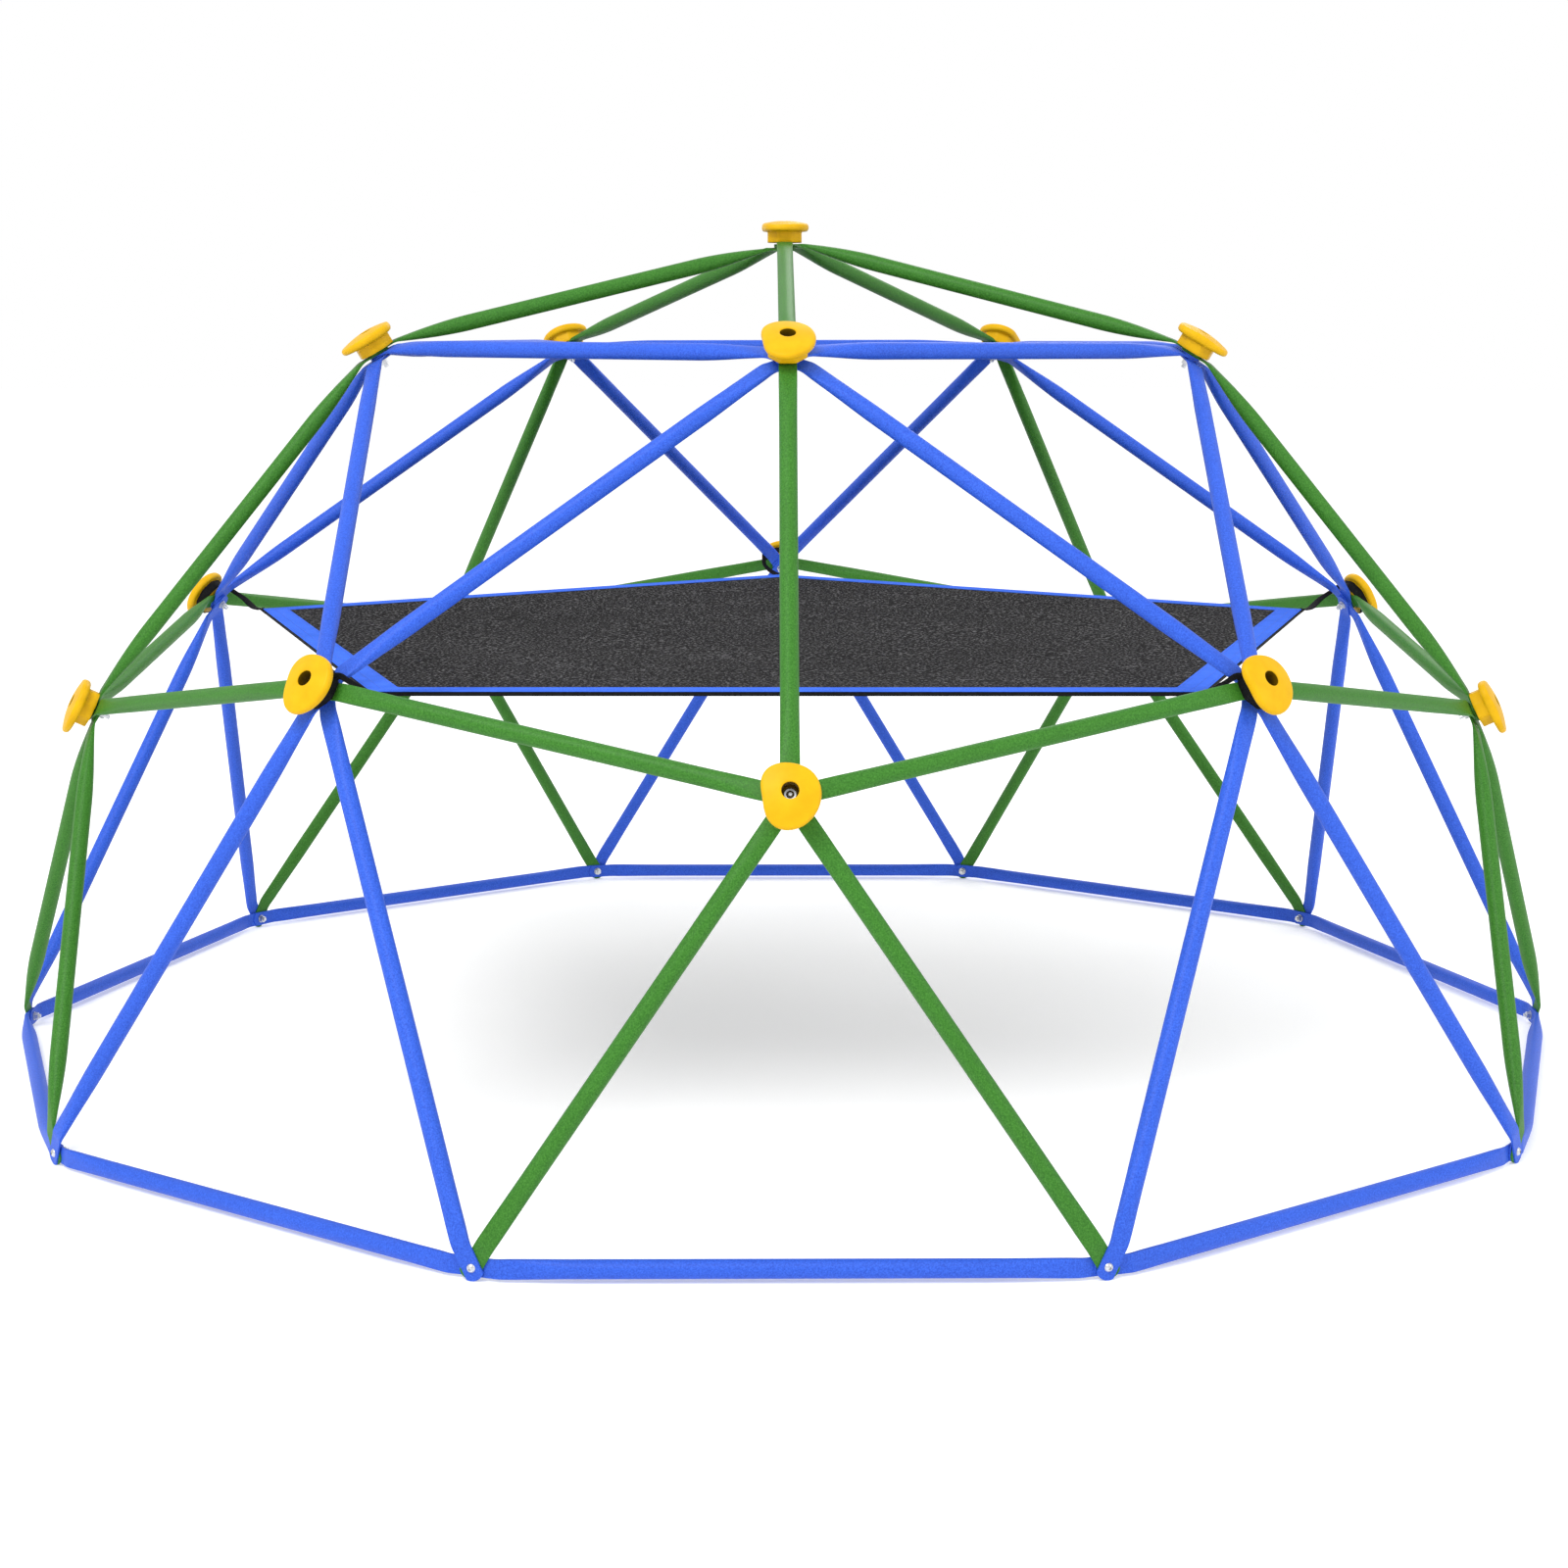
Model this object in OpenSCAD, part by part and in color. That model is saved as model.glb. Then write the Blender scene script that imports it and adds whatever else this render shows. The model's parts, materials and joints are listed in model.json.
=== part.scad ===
// Geodesic dome climber: 65 crimped steel tubes bolted at 26 joints, sixteen moulded climbing holds
// and a five-cornered mesh hammock slung inside. Millimetres, +Z up, the front is -Y.
// The origin is on the ground under the crown joint.

/* [Dome] */
// Radius of the circle through the ten base bolts
base_r = 1500; // [1450:5:1550]
// Height of the crown joint above the base bolts
crown_z = 1504; // [1480:2:1530]
// Radius of the upper ring of five joints
upper_r = 776; // [760:2:790]
// Height of the upper ring above the base bolts
upper_z = 1303; // [1290:1:1315]
// Radius of the five joints where only green tubes meet
star_r = 1304; // [1290:2:1320]
// Height of the five green joints above the base bolts
star_z = 671; // [660:1:685]
// Radius of the five joints that carry the hammock
sling_r = 1239; // [1225:2:1255]
// Height of the five hammock joints above the base bolts
sling_z = 789; // [780:1:800]

/* [Tubes] */
// Outside diameter of every tube
tube_d = 29; // [26:1:30]
// Wall thickness of the round part of a tube
wall = 1.0; // [0.8:0.1:2]
// Thickness of a flattened tube end
tab_t = 3; // [2.4:0.1:3.4]
// Width of a flattened tube end
tab_w = 30; // [29:1:34]
// Radius of the round end of a tab, which also sets how far the base bolts stand above the ground
tab_end_r = 20; // [19:0.5:22]
// Distance from the bolt to the bend where a tab turns into the tube
tab_reach = 38; // [37:1:44]
// Length over which the flat end swells into the round tube
crimp_len = 110; // [80:5:120]

/* [Holds] */
// Height of a hold's pedestal
neck_h = 20.5; // [20:0.5:26]
// Width of the pedestal across its flats
neck_w = 64.5; // [58:0.5:66]
// Thickness of a hold's cap at its middle
cap_t = 20; // [18:1:24]
// Radius of the dished-out crown of the cap's face
cap_crown_r = 170; // [150:10:240]
// Diameter of the recess that takes the bolt head
recess_d = 26; // [22:1:28]
// Height of the recess floor above the pedestal's foot
recess_floor = 16; // [12:1:18]

/* [Fasteners] */
// Diameter of every bolt
bolt_d = 8; // [8:8]
// Diameter of the bolt hole in the tabs and holds
bolt_hole_d = 8.6; // [8.4:0.1:9]
// Length of the bolts that pass through a hold
hold_bolt_len = 50; // [48:1:60]
// Length of the base bolts
base_bolt_len = 26; // [25:1:32]
// Diameter of the flanged head in a hold
hold_head_d = 17.8; // [16:0.2:20]
// Diameter of a bolt's button head
button_d = 14; // [13:0.5:15]
// Nut width across its flats
nut_w = 13; // [13:13]

/* [Hammock] */
// Distance from the dome's axis to a corner of the hammock
hammock_r = 1135; // [1120:5:1145]
// Height of the hammock's top face above the base bolts
hammock_z = 778; // [770:1:785]
// Width of the coloured border
border_w = 50; // [40:2:70]
// Thickness of the mesh panel
mesh_t = 2; // [1.5:0.5:3]
// Thickness of the border tape
border_t = 1; // [0.8:0.2:2]
// Width of the edge webbing
webbing_w = 25; // [20:1:30]
// Thickness of the edge webbing
edge_t = 5; // [3:0.5:6]
// Thickness of a strap
strap_t = 2.4; // [2:0.2:3]
// Width of a strap, which is also the height of its band round a pedestal
strap_w = 19; // [16:1:20]

/* [Hidden] */
SECTORS = 5;
sector = 360 / SECTORS;
front = -90;
gap = 0.05;
pitch = tab_t + gap;
ground = tab_end_r;
centre = [0, 0, ground];
upper_tabs = 6;
star_tabs = 5;
sling_tabs = 6;
base_tabs = 4;
washer_t = 1.6;
washer_d = 17;
nut_h = 7.5;
head_h = 4.4;
flange_t = 1.4;
thread_end = 9;
thread_d = 7.6;
socket_w = 5;
socket_depth = 3;
cap_points = 60;
neck_sides = 8;
neck_turn = 180 / neck_sides;
round_fn = 64;
flare_less = 0.3;
over = 1; // how far a cutter runs past what it cuts, and joined shapes into each other

green = "#4c8f3a";
blue = "#416eeb";
yellow = "#facd28";
zinc = "#c9ccd1";
black = "#1c1c1e";

// Joint positions. Sector k runs from 0, at the front, anticlockwise seen from above.

function on_ring(r, z, a) = [r * cos(a), r * sin(a), ground + z];
function upper_a(k) = front + sector * k;
function sling_a(k) = front + sector * (k + 0.5);
function base_a(j) = front + sector * (j - 0.5) / 2;
function crown_joint() = [0, 0, ground + crown_z];
function upper_joint(k) = on_ring(upper_r, upper_z, upper_a(k));
function star_joint(k) = on_ring(star_r, star_z, upper_a(k));
function sling_joint(k) = on_ring(sling_r, sling_z, sling_a(k));
function base_joint(j) = on_ring(base_r, 0, base_a(j));

function unit(v) = v / norm(v);
function outward(p) = unit(p - centre);

// How far a tab's middle stands out from the joint's centre: place 0 is the outermost of count tabs
function layer(place, count) = ((count - 1) / 2 - place) * pitch;
function stack_half(count) = count * pitch / 2;

// Tubes

module tab() {
    difference() {
        linear_extrude(tab_t, center = true) {
            intersection() {
                circle(tab_end_r, $fn = round_fn);
                translate([-tab_end_r, -tab_w / 2]) square([tab_end_r, tab_w]);
            }
            translate([-gap, -tab_w / 2]) square([tab_reach + tab_t / 4, tab_w]);
        }
        cylinder(h = 2 * tab_t, d = bolt_hole_d, center = true, $fn = round_fn);
    }
}

// A crimped tube seen from the side, along +X: from end_half thick either side at its ends to full
module crimp_side(from, to, end_half, full) {
    rotate([90, 0, 0]) linear_extrude(2 * tube_d, center = true) polygon([
        [from, end_half], [from + crimp_len, full], [to - crimp_len, full], [to, end_half],
        [to, -end_half], [to - crimp_len, -full], [from + crimp_len, -full], [from, -end_half]
    ]);
}

module lengthwise(from, to, d) {
    translate([from, 0, 0]) rotate([0, 90, 0]) cylinder(h = to - from, d = d, $fn = round_fn);
}

// The round tube with its two crimped ends, along +X from one bend to the other
module crimped_tube(length) {
    full = tube_d / 2 + over;
    lap = tab_t / 4;
    hollow_from = crimp_len / 8;
    difference() {
        intersection() {
            lengthwise(-lap, length + lap, tube_d);
            crimp_side(-lap, length + lap, tab_t / 2, full);
        }
        intersection() {
            lengthwise(hollow_from, length - hollow_from, tube_d - 2 * wall);
            crimp_side(hollow_from, length - hollow_from, tab_t / 2, full);
        }
    }
    for (end = [0, 1]) translate([end * length, 0, 0]) mirror([end, 0, 0])
        linear_extrude(tab_t - flare_less, center = true) polygon([
            [-lap, tab_w / 2 - flare_less], [crimp_len / 2, tube_d / 2 - over],
            [crimp_len / 2, over - tube_d / 2], [-lap, flare_less - tab_w / 2]
        ]);
}

// A tube between joints p and q. Its tabs lie in the joints' tangent planes, p_out and q_out off them.
module strut(p, q, p_out, q_out) {
    span = norm(q - p);
    x = (q - p) / span;
    y = unit(cross((p + q) / 2 - centre, x));
    z = cross(x, y);
    p_tilt = asin(-outward(p) * x);
    q_tilt = asin(outward(q) * x);
    p_tab = p_out * [-sin(p_tilt), 0, cos(p_tilt)];
    q_tab = [span, 0, 0] + q_out * [sin(q_tilt), 0, cos(q_tilt)];
    p_bend = p_tab + tab_reach * [cos(p_tilt), 0, sin(p_tilt)];
    q_bend = q_tab + tab_reach * [-cos(q_tilt), 0, sin(q_tilt)];
    run = q_bend - p_bend;
    multmatrix([
        [x[0], y[0], z[0], p[0]],
        [x[1], y[1], z[1], p[1]],
        [x[2], y[2], z[2], p[2]],
        [0, 0, 0, 1]
    ]) {
        translate(p_tab) rotate([0, -p_tilt, 0]) tab();
        translate(q_tab) rotate([0, q_tilt, 0]) mirror([1, 0, 0]) tab();
        translate(p_bend) rotate([0, -atan2(run[2], run[0]), 0]) crimped_tube(norm(run));
    }
}

module crown_tube(k) {
    color(green)
        strut(crown_joint(), upper_joint(k), layer(k, star_tabs), layer(0, upper_tabs));
}

module upper_ring_tube(k) {
    color(blue)
        strut(upper_joint(k), upper_joint(k + 1), layer(2, upper_tabs), layer(3, upper_tabs));
}

module upper_post(k) {
    color(green)
        strut(upper_joint(k), star_joint(k), layer(1, upper_tabs), layer(0, star_tabs));
}

module upper_brace_pair(k) {
    color(blue) {
        strut(upper_joint(k), sling_joint(k), layer(4, upper_tabs), layer(2, sling_tabs));
        strut(upper_joint(k), sling_joint(k - 1), layer(5, upper_tabs), layer(3, sling_tabs));
    }
}

module middle_ring_pair(k) {
    color(green) {
        strut(star_joint(k), sling_joint(k), layer(1, star_tabs), layer(0, sling_tabs));
        strut(star_joint(k), sling_joint(k - 1), layer(2, star_tabs), layer(1, sling_tabs));
    }
}

module lower_post_pair(k) {
    color(green) {
        strut(star_joint(k), base_joint(2 * k + 1), layer(3, star_tabs), layer(1, base_tabs));
        strut(star_joint(k), base_joint(2 * k), layer(4, star_tabs), layer(1, base_tabs));
    }
}

module lower_brace_pair(k) {
    color(blue) {
        strut(sling_joint(k), base_joint(2 * k + 1), layer(4, sling_tabs), layer(0, base_tabs));
        strut(sling_joint(k), base_joint(2 * k + 2), layer(5, sling_tabs), layer(0, base_tabs));
    }
}

module base_ring_pair(k) {
    color(blue) for (j = [2 * k, 2 * k + 1])
        strut(base_joint(j), base_joint(j + 1), layer(2, base_tabs), layer(3, base_tabs));
}

// Puts its children at a joint, with +Z outward, +X downhill and +Y to the right seen from outside
module at_joint(r, z, a) {
    rotate([0, 0, a]) translate([r, 0, ground + z]) rotate([0, 90 - atan2(z, r), 0]) children();
}

module at_crown() at_joint(0, crown_z, front) children();

module at_upper_joints() for (k = [0:SECTORS - 1])
    at_joint(upper_r, upper_z, upper_a(k)) children();

module at_star_joints() for (k = [0:SECTORS - 1])
    at_joint(star_r, star_z, upper_a(k)) children();

module at_sling_joints() for (k = [0:SECTORS - 1])
    at_joint(sling_r, sling_z, sling_a(k)) children();

module at_base_joints() for (j = [0:2 * SECTORS - 1])
    at_joint(base_r, 0, base_a(j)) children();

// Holds

// The cap's outline, seen from outside: widest above the middle and narrowest at the bottom
function cap_edge(a) = 47.8 - 4.1 * sin(a) - 3.4 * cos(2 * a) - sin(2 * a)
    + 1.7 * cos(3 * a) + 2 * sin(3 * a) - 0.6 * cos(4 * a) - 0.6 * sin(4 * a);

module cap_outline() {
    polygon([
        for (i = [0:cap_points - 1])
            let (a = 360 * i / cap_points) cap_edge(a) * [cos(a), sin(a)]
    ]);
}

module hold(tabs) {
    foot = stack_half(tabs) + gap;
    total = neck_h + cap_t;
    color(yellow) translate([0, 0, foot]) rotate([0, 0, 90]) difference() {
        union() {
            rotate([0, 0, neck_turn])
                cylinder(h = neck_h + over, d = neck_w / cos(neck_turn), $fn = neck_sides);
            intersection() {
                translate([0, 0, neck_h]) linear_extrude(cap_t) cap_outline();
                translate([0, 0, total - cap_crown_r])
                    sphere(cap_crown_r, $fn = 2 * round_fn);
            }
        }
        translate([0, 0, recess_floor])
            cylinder(h = total, d = recess_d, $fn = round_fn);
        translate([0, 0, -over]) cylinder(h = total, d = bolt_hole_d, $fn = round_fn);
    }
}

module crown_hold() at_crown() hold(star_tabs);
module upper_holds() at_upper_joints() hold(upper_tabs);
module star_holds() at_star_joints() hold(star_tabs);
module sling_holds() at_sling_joints() hold(sling_tabs);

// Fasteners

module socket_recess() {
    translate([0, 0, head_h - socket_depth])
        cylinder(h = head_h, d = socket_w / cos(30), $fn = 6);
}

// A button head sitting on z = 0, cut from a sphere
module button_head(d) {
    cap_r = (d * d / 4 + head_h * head_h) / (2 * head_h);
    difference() {
        intersection() {
            cylinder(h = head_h, d = d, $fn = round_fn);
            translate([0, 0, head_h - cap_r]) sphere(cap_r, $fn = 2 * round_fn);
        }
        socket_recess();
    }
}

// A bolt's shank hanging from z = 0, its thread's end a little thinner than the shank
module bolt_shank(length) {
    translate([0, 0, thread_end - length])
        cylinder(h = length - thread_end + over, d = bolt_d, $fn = round_fn);
    translate([0, 0, -length]) cylinder(h = thread_end, d = thread_d, $fn = round_fn);
}

module hold_bolt(tabs) {
    color(zinc) translate([0, 0, stack_half(tabs) + gap + recess_floor + gap]) {
        difference() {
            cylinder(h = flange_t, d = hold_head_d, $fn = round_fn);
            socket_recess();
        }
        button_head(button_d);
        bolt_shank(hold_bolt_len);
    }
}

module base_bolt() {
    color(zinc) translate([0, 0, stack_half(base_tabs) + gap]) {
        button_head(button_d);
        bolt_shank(base_bolt_len);
    }
}

module washer(tabs) {
    color(zinc) translate([0, 0, -stack_half(tabs) - gap - washer_t]) difference() {
        cylinder(h = washer_t, d = washer_d, $fn = round_fn);
        translate([0, 0, -over]) cylinder(h = washer_t + 2 * over, d = bolt_hole_d, $fn = round_fn);
    }
}

module nut(tabs) {
    top = stack_half(tabs) + washer_t + 2 * gap;
    color(zinc) translate([0, 0, -top - nut_h]) difference() {
        cylinder(h = nut_h, d = nut_w / cos(30), $fn = 6);
        translate([0, 0, -over]) cylinder(h = nut_h + 2 * over, d = bolt_d + 2 * gap, $fn = round_fn);
    }
}

module crown_bolt() at_crown() hold_bolt(star_tabs);
module crown_nut() at_crown() nut(star_tabs);

module hold_bolts() {
    at_upper_joints() hold_bolt(upper_tabs);
    at_star_joints() hold_bolt(star_tabs);
    at_sling_joints() hold_bolt(sling_tabs);
}

module hold_nuts() {
    at_upper_joints() nut(upper_tabs);
    at_star_joints() nut(star_tabs);
    at_sling_joints() nut(sling_tabs);
}

module base_bolts() at_base_joints() base_bolt();
module base_nuts() at_base_joints() nut(base_tabs);

module washers() {
    at_crown() washer(star_tabs);
    at_upper_joints() washer(upper_tabs);
    at_star_joints() washer(star_tabs);
    at_sling_joints() washer(sling_tabs);
    at_base_joints() washer(base_tabs);
}

// Hammock

mesh_top = ground + hammock_z - border_t - gap;
mesh_under = mesh_top - mesh_t;

module pentagon(r) {
    polygon([for (k = [0:SECTORS - 1]) r * [cos(sling_a(k)), sin(sling_a(k))]]);
}

module pentagon_frame(r, w) {
    difference() {
        pentagon(r);
        pentagon(r - w / cos(sector / 2));
    }
}

module hammock_mesh() {
    color("#373536") translate([0, 0, mesh_under]) linear_extrude(mesh_t) pentagon(hammock_r);
}

module hammock_border() {
    color("#487dff") translate([0, 0, mesh_top + gap]) linear_extrude(border_t)
        pentagon_frame(hammock_r, border_w);
}

module hammock_edging() {
    color(black) translate([0, 0, mesh_under - gap - edge_t]) linear_extrude(edge_t)
        pentagon_frame(hammock_r, webbing_w);
}

// A strap is a flat band round a hold's pedestal, with a tail that drops between two tubes into the
// dome and sags to the hammock's corner. Each step of the tail is a point, the direction across the
// webbing there and its width, bunched where it squeezes between the tubes. In the joint's axes +X
// is downhill, +Y is towards the side that the tail leaves on and +Z is outward.
strap_side = [-1, 1, 1, -1, 1];
tail = [
    [[-18.5, 32, 19.3], [0, 0, 1], strap_w],
    [[-21.5, 37.2, 18.5], [-0.25, 0.43, 0.87], 17],
    [[-22.8, 39.5, 12], [-0.5, 0.87, 0.4], 13],
    [[-23, 39.9, 0], [-0.5, 0.87, 0], 11],
    [[-23.5, 40.5, -14], [-0.5, 0.87, -0.1], 11],
    [[-25, 38, -30], [-0.45, 0.86, -0.25], 13],
    [[-27, 28, -50], [-0.3, 0.93, -0.25], 16],
    [[-31, 14, -70], [-0.1, 0.98, -0.15], strap_w],
    [[-39.5, 4.5, -86.5], [0, 1, -0.05], strap_w],
    [[-45.3, 0, -91.5], [0, 1, 0], strap_w]
];

module webbing_slat(step) {
    across = unit(step[1]);
    translate(step[0]) rotate([0, acos(across[2]), atan2(across[1], across[0])])
        cylinder(h = step[2], d = strap_t, center = true, $fn = 12);
}

module strap(k) {
    foot = stack_half(sling_tabs) + 2 * gap;
    loop_r = neck_w / cos(neck_turn) / 2 + over;
    left = strap_side[k] < 0 ? 1 : 0;
    color(black) at_joint(sling_r, sling_z, sling_a(k)) mirror([0, left, 0]) {
        translate([0, 0, foot]) difference() {
            cylinder(h = strap_w, r = loop_r + strap_t, $fn = round_fn);
            translate([0, 0, -over]) cylinder(h = strap_w + 2 * over, r = loop_r, $fn = round_fn);
        }
        for (i = [1:len(tail) - 1]) hull() {
            webbing_slat(tail[i - 1]);
            webbing_slat(tail[i]);
        }
    }
}

for (k = [0:SECTORS - 1]) {
    crown_tube(k);
    upper_ring_tube(k);
    upper_post(k);
    upper_brace_pair(k);
    middle_ring_pair(k);
    lower_post_pair(k);
    lower_brace_pair(k);
    base_ring_pair(k);
    strap(k);
}
crown_hold();
upper_holds();
star_holds();
sling_holds();
crown_bolt();
crown_nut();
hold_bolts();
hold_nuts();
base_bolts();
base_nuts();
washers();
hammock_mesh();
hammock_border();
hammock_edging();
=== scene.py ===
"""Looks for a geodesic dome climber: crimped tubes, moulded holds and a slung mesh hammock.

Lengths are metres in the frame's axes: +Z up, the front is -Y, the origin is on the ground under
the crown joint. The driving dimensions repeat the part's own.
"""

import json
import math

import bpy
import numpy as np
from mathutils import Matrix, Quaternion, Vector

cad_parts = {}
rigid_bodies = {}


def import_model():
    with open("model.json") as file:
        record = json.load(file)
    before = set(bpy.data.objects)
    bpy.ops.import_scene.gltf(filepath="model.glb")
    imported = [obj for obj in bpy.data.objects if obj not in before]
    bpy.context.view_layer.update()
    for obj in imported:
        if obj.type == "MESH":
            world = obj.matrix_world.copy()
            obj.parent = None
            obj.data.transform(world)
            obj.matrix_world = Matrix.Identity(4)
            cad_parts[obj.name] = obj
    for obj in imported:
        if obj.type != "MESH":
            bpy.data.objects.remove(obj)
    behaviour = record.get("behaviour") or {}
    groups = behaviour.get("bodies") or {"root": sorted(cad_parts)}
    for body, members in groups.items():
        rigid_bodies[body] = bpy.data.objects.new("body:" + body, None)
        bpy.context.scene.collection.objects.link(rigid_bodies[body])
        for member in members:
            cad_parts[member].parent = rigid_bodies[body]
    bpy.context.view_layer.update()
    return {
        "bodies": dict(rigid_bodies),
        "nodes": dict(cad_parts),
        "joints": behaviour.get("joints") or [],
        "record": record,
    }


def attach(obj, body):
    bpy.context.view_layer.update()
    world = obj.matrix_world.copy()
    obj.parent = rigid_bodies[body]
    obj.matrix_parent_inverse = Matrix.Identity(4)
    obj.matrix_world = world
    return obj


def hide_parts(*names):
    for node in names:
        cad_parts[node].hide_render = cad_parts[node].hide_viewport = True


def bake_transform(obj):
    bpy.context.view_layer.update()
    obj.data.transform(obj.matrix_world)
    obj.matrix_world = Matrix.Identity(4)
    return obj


# Dome: the radius and the height above the base bolts of each ring of joints
SECTORS = 5
SECTOR = 360 / SECTORS
FRONT = -90
GROUND = 0.020
CENTRE = np.array([0, 0, GROUND])
CROWN = (0, 1.504)
UPPER = (0.776, 1.303)
STAR = (1.304, 0.671)
SLING = (1.239, 0.789)
BASE = (1.500, 0)
UPPER_TABS, STAR_TABS, SLING_TABS, BASE_TABS = 6, 5, 6, 4

# Tubes
TUBE_R = 0.0145
TAB_T = 0.003
TAB_W = 0.030
TAB_END_R = 0.020
TAB_REACH = 0.038
CRIMP_LEN = 0.110
CRIMP_TAIL = 1.3 * CRIMP_LEN  # the crimp fades into the round tube instead of stopping
CRIMP_EASE = 1.8
BEND_EASE = 0.007
GAP = 0.00005
PITCH = TAB_T + GAP
AROUND = 32
TAB_CHAMFER = 0.0005  # taken off a tab's thickness at its very end
END_STEPS = 6
CRIMP_STEPS = 26
BLUNT = 6  # how square the edges of a flattened section are
GREEN_TUBES = ("crown_tube", "upper_post", "middle_ring_pair", "lower_post_pair")

# Holds, measured from the foot of the pedestal
NECK_H = 0.0205
NECK_W = 0.0645
NECK_SIDES = 8
CAP_T = 0.020
CAP_CROWN_R = 0.170
RIM_R = 0.0052
RECESS_R = 0.013
RECESS_FLOOR = 0.016
HOLD_AROUND = 120
RECESS_BANDS = 7  # how many of a hold's last bands of faces line its recess; these faces carry painted shade, a darker copy of the plastic
BOLT_HOLE_R = 0.0043
NECK_FILLET = 0.0028
RECESS_LIP = 0.0018

# Hammock
HAMMOCK_R = 1.135
HAMMOCK_TOP = GROUND + 0.778
BORDER_W = 0.050
BORDER_T = 0.001
MESH_T = 0.002
WEBBING_W = 0.025
EDGE_T = 0.005
SAG = 0.018
STRAP_W = 0.019
STRAP_T = 0.0024
APOTHEM_SHARE = math.cos(math.radians(SECTOR / 2))
# Which side of its joint each strap drops on, and the way it takes there: downhill, sideways,
# outward from the joint, then the direction across the webbing and its width
STRAP_SIDES = (-1, 1, 1, -1, 1)
TAIL = (
    ((-0.0185, 0.0320, 0.0193), (0, 0, 1), STRAP_W),
    ((-0.0215, 0.0372, 0.0185), (-0.25, 0.43, 0.87), 0.017),
    ((-0.0228, 0.0395, 0.0120), (-0.50, 0.87, 0.40), 0.013),
    ((-0.0230, 0.0399, 0.0000), (-0.50, 0.87, 0.00), 0.011),
    ((-0.0235, 0.0405, -0.0140), (-0.50, 0.87, -0.10), 0.011),
    ((-0.0250, 0.0380, -0.0300), (-0.45, 0.86, -0.25), 0.013),
    ((-0.0270, 0.0280, -0.0500), (-0.30, 0.93, -0.25), 0.016),
    ((-0.0310, 0.0140, -0.0700), (-0.10, 0.98, -0.15), STRAP_W),
    ((-0.0395, 0.0045, -0.0865), (0, 1, -0.05), STRAP_W),
    ((-0.0453, 0.0000, -0.0915), (0, 1, 0), STRAP_W),
)
TAIL_SAMPLES = 7  # points drawn along each step of the tail
BAND_AROUND = 96
BOX_HALF_W = 0.0068  # of the stitched box at a strap's sewn end
HANG_FRAMES = 30
UP = np.array([0, 0, 1.0])

# Studio
FLOOR_AROUND = 60
LAMP_AIM = (0, 0, 0.7)
LAMP_SIZE = 3.0
CAMERA_AT = (-0.0346, -5.082, 1.366)
CAMERA_AIM = (0, 0, 0.489)
CAMERA_LENS = 60.23
CAMERA_ROLL = 0.0011


# Places


def unit(v):
    v = np.asarray(v, float)
    return v / np.linalg.norm(v)


def upper_a(k):
    return FRONT + SECTOR * k


def sling_a(k):
    return FRONT + SECTOR * (k + 0.5)


def base_a(j):
    return FRONT + SECTOR * (j - 0.5) / 2


def on_ring(ring, a):
    r, z = ring
    return np.array([r * math.cos(math.radians(a)), r * math.sin(math.radians(a)), GROUND + z])


def outward(p):
    return unit(p - CENTRE)


def layer(place, count):
    """How far a tab's middle stands out from the joint's centre; place 0 is the outermost."""
    return ((count - 1) / 2 - place) * PITCH


def stack_half(count):
    return count * PITCH / 2


def joint_frame(ring, a):
    """A joint's centre, and its axes as columns: downhill, right seen from outside, outward."""
    p = on_ring(ring, a)
    out = outward(p)
    right = np.array([-math.sin(math.radians(a)), math.cos(math.radians(a)), 0])
    return p, np.column_stack([np.cross(right, out), right, out])


# Meshes


def mesh_object(name, parts, sharp=50, uv=False):
    """One object from parts, each (points, faces, uv per corner)."""
    verts, faces, coords, start = [], [], [], 0
    for points, corners, flat in parts:
        verts.append(points)
        faces += [[start + i for i in f] for f in corners]
        coords += flat
        start += len(points)
    mesh = bpy.data.meshes.new(name)
    mesh.from_pydata(np.concatenate(verts).tolist(), [], faces)
    mesh.polygons.foreach_set("use_smooth", [True] * len(mesh.polygons))
    if uv:
        mesh.uv_layers.new(name="cloth").data.foreach_set("uv", np.ravel(coords))
    mesh.validate()
    mesh.set_sharp_from_angle(angle=math.radians(sharp))
    made = bpy.data.objects.new(name, mesh)
    bpy.context.scene.collection.objects.link(made)
    return made


def loft(rings, looped=False):
    """Joins rings of equally many points, with flat ends unless looped. UV runs along and round."""
    rings = np.asarray(rings, float)
    count, around = rings.shape[:2]
    middle = rings.mean(axis=1)
    along = np.concatenate([[0], np.cumsum(np.linalg.norm(np.diff(middle, axis=0), axis=1))])
    girth = np.concatenate(
        [[0], np.cumsum(np.linalg.norm(np.roll(rings[0], -1, 0) - rings[0], axis=1))]
    )
    faces, flat = [], []
    for i in range(count if looped else count - 1):
        j = (i + 1) % count
        far = along[j] if j else along[-1] + np.linalg.norm(middle[0] - middle[-1])
        for a in range(around):
            b = (a + 1) % around
            faces.append([i * around + a, i * around + b, j * around + b, j * around + a])
            flat += [
                (along[i], girth[a]), (along[i], girth[a + 1]), (far, girth[a + 1]), (far, girth[a])
            ]
    if not looped:
        for i, step in ((0, -1), (count - 1, 1)):
            faces.append([i * around + a for a in range(around)][::step])
            flat += [(along[i], girth[a]) for a in range(around)]
    return rings.reshape(-1, 3), faces, flat


def smoothstep(t):
    t = np.clip(t, 0, 1)
    return t * t * (3 - 2 * t)


# Tubes


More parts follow.
